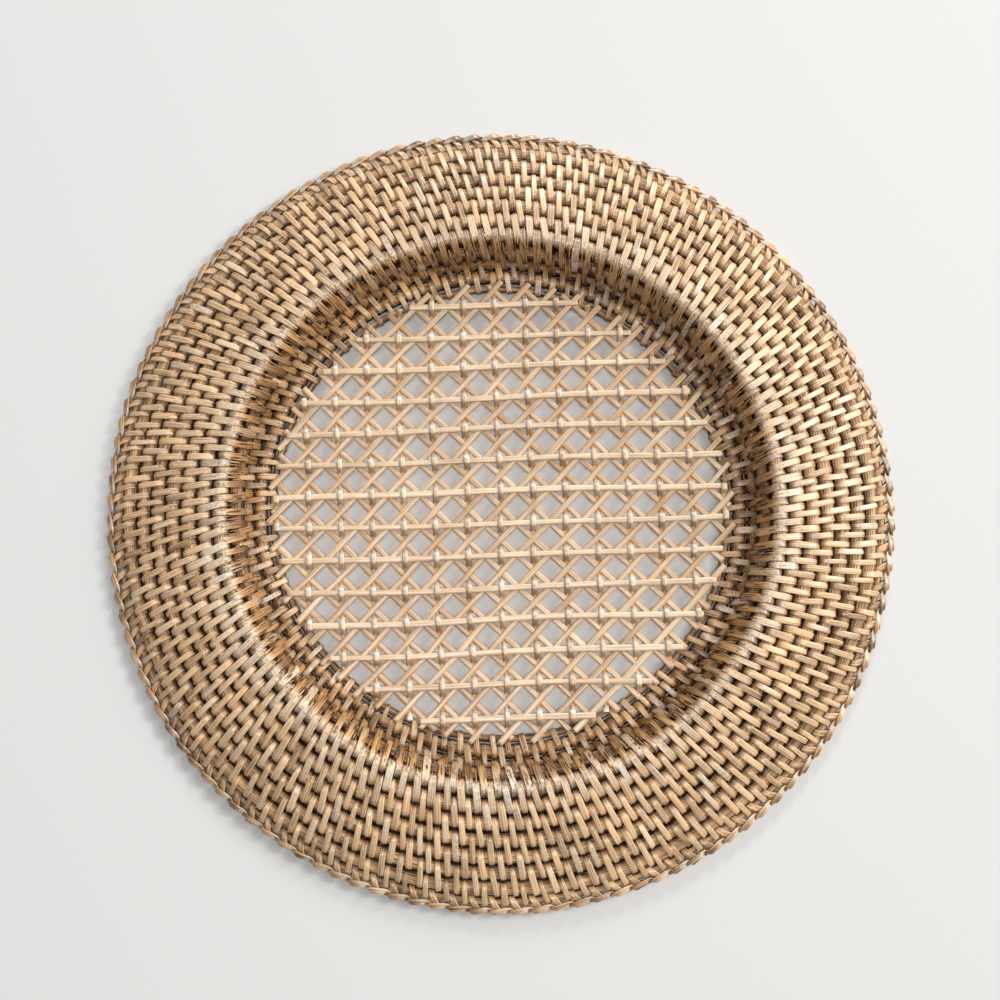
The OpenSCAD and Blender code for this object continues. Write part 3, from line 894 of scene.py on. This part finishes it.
class PLATE_OT_mesh(bpy.types.Operator):
    """Builds the four directions of the woven mesh"""
    bl_idname = "plate.mesh"
    bl_label = "Woven mesh"

    def execute(self, context):
        weave = context.scene.plate_weave
        rng = np.random.default_rng(weave.seed + 3)
        material = finish("Chair cane", "mesh")
        pitch, width, thick = weave.mesh_pitch, weave.cane_width, weave.cane_thick
        layer = 0.6 * MM
        low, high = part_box("mesh_falling")
        height = (low[2] + high[2]) / 2 + layer / 2
        middle, spread = TONE["mesh"]
        hoop = PLACE["hoop_core_rod"][0]
        # the slanting strands reach past the hoop, down the slope of its loops
        falling_end, rising_end = hoop + 1.45 * MM, hoop + 2.89 * MM
        slant = np.arange(-9, 10) * pitch / math.sqrt(2)
        rows = (np.arange(-7, 7) + 0.5) * pitch
        columns = np.arange(-7, 8) * pitch

        def level(value, dip):
            """A function of x: so many layers up, with a small dip in each pitch."""
            return lambda x: height + value * layer - dip * np.cos(2 * np.pi * x / pitch)

        def wave(x):
            """Flat under the slanting strands, flat over each row, and a smooth
            climb between, three times its square less twice its cube."""
            flat_below, flat_above = 3.2 * MM, 1.4 * MM
            place = np.abs((x / pitch + 0.5) % 1.0 - 0.5) * pitch
            climb = np.clip((place - flat_below) / (pitch / 2 - (flat_below + flat_above)), 0, 1)
            climb = climb * climb * (3 - 2 * climb)
            return height + layer * (-1.5 + 4.0 * climb)

        # node, places, end radius, heights, turn in degrees, stations and lift of tone
        # lower layers are darker, painted shade under the strands above; the strands across are the
        # lightest
        sets = [
            ("mesh_falling", slant, falling_end, level(-0.5, 0.03 * MM), -45, 150, -0.08),
            ("mesh_rising", slant, rising_end, level(0.5, 0.03 * MM), 45, 150, 0.0),
            ("mesh_across", rows, hoop, level(1.5, 0.05 * MM), 0, 120, 0.2),
            ("mesh_along", columns, hoop, wave, 90, 231, 0.05),
        ]
        for name, places, radius, heights, degrees, stations, lift in sets:
            turn = weave.mesh_turn + math.radians(degrees)
            grid, length = strand_points(places, radius, heights, width, thick, turn, stations, rng)
            strand = np.arange(len(places))[:, None]
            tone = middle + lift + rng.normal(0, spread, (len(places), 1)) + 0.08 * np.sin(length * 0.9)
            wear = None
            if heights is wave:
                # painted highlight atop each knuckle and to the back; painted shade where it dives and
                # lies low
                ridge = grid[:, :, 2, 2]
                rise = (ridge - ridge.min()) / np.ptp(ridge)
                climb = np.tanh(np.gradient(rise, axis=1) * 14)
                own = 0.5 + 0.5 * np.sin(length * 3.3 + strand * 2.1)
                wear = np.clip(rise * 2.2 - 0.9, 0, 1) * np.clip(0.25 - climb, 0, 1) * (0.35 + 0.65 * own)
                tone = tone - 0.45 * np.clip(climb, 0, 1) - 0.15 * (1 - rise)
            hue = (0.45 if places is rows else 0.1) + 0.25 * np.sin(length * 0.35 + strand * 1.7)
            mesh = build_mesh(name + "_strands", hand_made(grid), False, length,
                              np.clip(tone, 0, 1), wear, hue)
            add_piece(name + "_strands", mesh, material, [name])
        return {"FINISHED"}


def to_euler(direction):
    """The turn that points an object's -Z along a direction, +Y up."""
    return Vector(tuple(direction)).to_track_quat("-Z", "Y").to_euler()


class PLATE_OT_stage(bpy.types.Operator):
    """Builds the floor, the lights and the camera"""
    bl_idname = "plate.stage"
    bl_label = "Stage"

    def execute(self, context):
        scene = context.scene
        mesh = bpy.data.meshes.new("floor")
        sides = [(-1, -1), (1, -1), (1, 1), (-1, 1)]
        corners = [(x * FLOOR_HALF, y * FLOOR_HALF, FLOOR_LOW) for x, y in sides]
        mesh.from_pydata(corners, [], [(0, 1, 2, 3)])
        floor = bpy.data.objects.new("floor", mesh)
        scene.collection.objects.link(floor)
        cloth = bpy.data.materials.new("Pale floor")
        cloth.use_nodes = True
        shader = cloth.node_tree.nodes["Principled BSDF"]
        shader.inputs["Base Color"].default_value = (*scene.plate_look.floor, 1)
        shader.inputs["Roughness"].default_value = 0.9
        mesh.materials.append(cloth)

        world = bpy.data.worlds.new("Studio")
        world.use_nodes = True
        background = world.node_tree.nodes["Background"]
        background.inputs["Color"].default_value = WORLD_COLOUR
        background.inputs["Strength"].default_value = WORLD_STRENGTH
        scene.world = world
        for name, place, power, size, tint in LIGHTS:
            data = bpy.data.lights.new(name, "AREA")
            data.energy = power
            data.size = size
            data.color = tint
            lamp = bpy.data.objects.new(name, data)
            lamp.location = place
            lamp.rotation_euler = to_euler(-np.array(place))
            scene.collection.objects.link(lamp)

        camera_data = bpy.data.cameras.new("camera")
        camera = bpy.data.objects.new("camera", camera_data)
        camera_data.sensor_width = SENSOR
        camera_data.lens = SENSOR / 2 / math.tan(CAMERA_VIEW / 2)
        camera_data.dof.use_dof = False
        eye = CAMERA_AWAY * np.array([0.0, -math.sin(CAMERA_TILT), math.cos(CAMERA_TILT)])
        camera.location = eye
        camera.rotation_euler = to_euler(np.array(CAMERA_AIM) - eye)
        scene.collection.objects.link(camera)
        scene.camera = camera
        scene.view_settings.view_transform = "Standard"
        return {"FINISHED"}


class PLATE_PT_panel(bpy.types.Panel):
    """Lists the plate's steps and sizes"""
    bl_label = "Charger plate"
    bl_idname = "PLATE_PT_panel"
    bl_space_type = "VIEW_3D"
    bl_region_type = "UI"
    bl_category = "Charger plate"

    def draw(self, context):
        for step in STEPS:
            self.layout.operator(step.bl_idname)
        for group in (context.scene.plate_weave, context.scene.plate_look):
            for key in type(group).__annotations__:
                self.layout.prop(group, key)


STEPS = (PLATE_OT_coils, PLATE_OT_stitches, PLATE_OT_fibres, PLATE_OT_plait, PLATE_OT_mesh,
         PLATE_OT_stage)
CLASSES = (PlateWeave, PlateLook, *STEPS, PLATE_PT_panel)


def register():
    for item in CLASSES:
        bpy.utils.register_class(item)
    bpy.types.Scene.plate_weave = PointerProperty(type=PlateWeave)
    bpy.types.Scene.plate_look = PointerProperty(type=PlateLook)


def unregister():
    del bpy.types.Scene.plate_look
    del bpy.types.Scene.plate_weave
    for item in reversed(CLASSES):
        bpy.utils.unregister_class(item)


def main():
    """Builds every piece and the stage."""
    register()
    bpy.ops.plate.coils()
    bpy.ops.plate.stitches()
    bpy.ops.plate.fibres()
    bpy.ops.plate.plait()
    bpy.ops.plate.mesh()
    bpy.ops.plate.stage()


if __name__ == "__main__":
    main()
